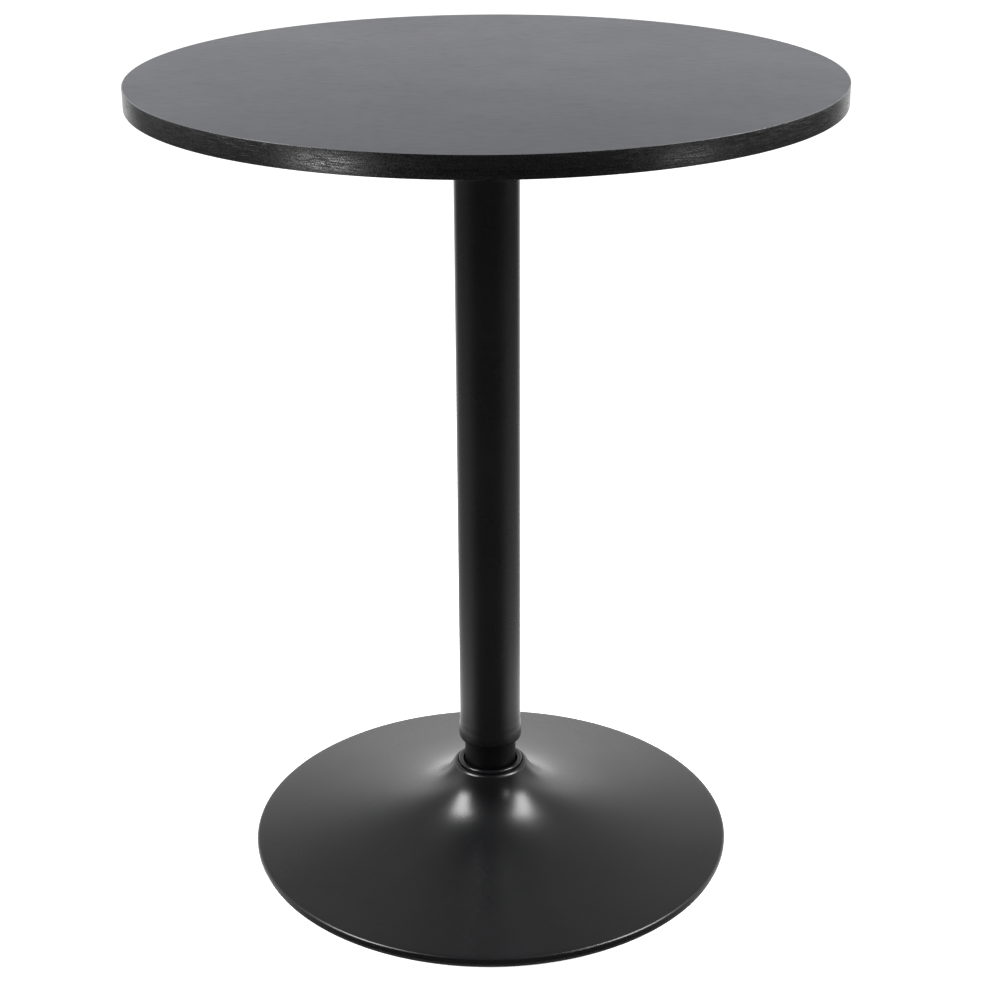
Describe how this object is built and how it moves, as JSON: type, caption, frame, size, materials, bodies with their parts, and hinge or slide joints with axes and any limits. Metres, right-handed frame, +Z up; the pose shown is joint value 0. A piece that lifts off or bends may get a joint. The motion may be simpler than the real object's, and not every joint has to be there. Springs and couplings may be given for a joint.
{
  "type": "round pedestal table",
  "caption": "Round pedestal table with a flat disc top, a gas-lift telescoping column with a release lever and a flared trumpet base.",
  "frame": {"origin": "on the floor, on the axis of the column", "axes": "+Z up along the column; +Y towards the grip of the release lever"},
  "size_m": [0.5999, 0.6, 0.732],
  "materials": {
    "wood_grain_laminate": "satin black melamine laminate pressed with a fine straight wood grain",
    "backing_laminate": "matt black backing laminate",
    "edge_banding": "black edge banding, semi-gloss with a fine wood grain along it",
    "board": "raw fibre board, hidden inside the top",
    "black_powder_coat": "satin black powder coat on steel",
    "zinc_plated_steel": "bright zinc plate",
    "bearing_steel": "ground steel",
    "black_plastic": "moulded black plastic",
    "black_rubber": "black rubber"
  },
  "bodies": {
    "base": {"base_trumpet": "black_powder_coat", "hub_socket": "black_powder_coat", "hub_brace": "black_powder_coat", "floor_ring": "black_rubber", "column_tube": "black_powder_coat", "column_end_plate": "black_powder_coat", "column_guide_bush": "black_plastic", "lower_race": "bearing_steel", "bearing_balls": "bearing_steel", "bearing_cage": "black_plastic"},
    "gas_rod": {"piston_rod": "bearing_steel", "piston": "black_plastic", "piston_seal": "black_rubber", "upper_race": "bearing_steel", "rubber_buffer": "black_rubber", "clip_washer": "zinc_plated_steel", "retaining_clip": "zinc_plated_steel"},
    "top": {"table_top_core": "board", "top_laminate": "wood_grain_laminate", "underside_laminate": "backing_laminate", "edge_band": "edge_banding", "threaded_inserts": "zinc_plated_steel", "mounting_plate": "black_powder_coat", "plate_washers": "zinc_plated_steel", "plate_bolts": "zinc_plated_steel", "lever_housing": "black_powder_coat", "taper_socket": "black_powder_coat", "sleeve_collar": "black_powder_coat", "column_sleeve": "black_powder_coat", "sleeve_screws": "zinc_plated_steel", "sleeve_guide_bush": "black_plastic", "pressure_cylinder": "black_powder_coat", "rod_guide": "black_plastic", "rod_seal": "black_rubber", "valve_body": "black_plastic", "lever_pivot_pin": "zinc_plated_steel", "pivot_clip": "zinc_plated_steel"},
    "lever": {"lever_rod": "black_powder_coat", "lever_grip": "black_plastic"},
    "valve": {"valve_pin": "bearing_steel"}
  },
  "joints": [
    {"name": "top_swivel", "type": "hinge", "parent": "base", "child": "gas_rod", "pos_m": [0, 0, 0.03], "axis": [0, 0, 1], "continuous": true},
    {"name": "top_height", "type": "slide", "parent": "gas_rod", "child": "top", "axis": [0, 0, 1], "range_m": [0, 0.215]},
    {"name": "lever_pull", "type": "hinge", "parent": "top", "child": "lever", "pos_m": [0, 0.018, 0.7028], "axis": [1, 0, 0], "range_deg": [0, 8], "stiffness_Nm_per_rad": 2, "springref_deg": -14.32},
    {"name": "valve_press", "type": "slide", "parent": "top", "child": "valve", "axis": [0, 0, -1], "range_m": [0, 0.0026]}
  ],
  "couplings": [
    {"joint": "valve_press", "follows": "lever_pull", "m_per_rad": 0.018}
  ]
}
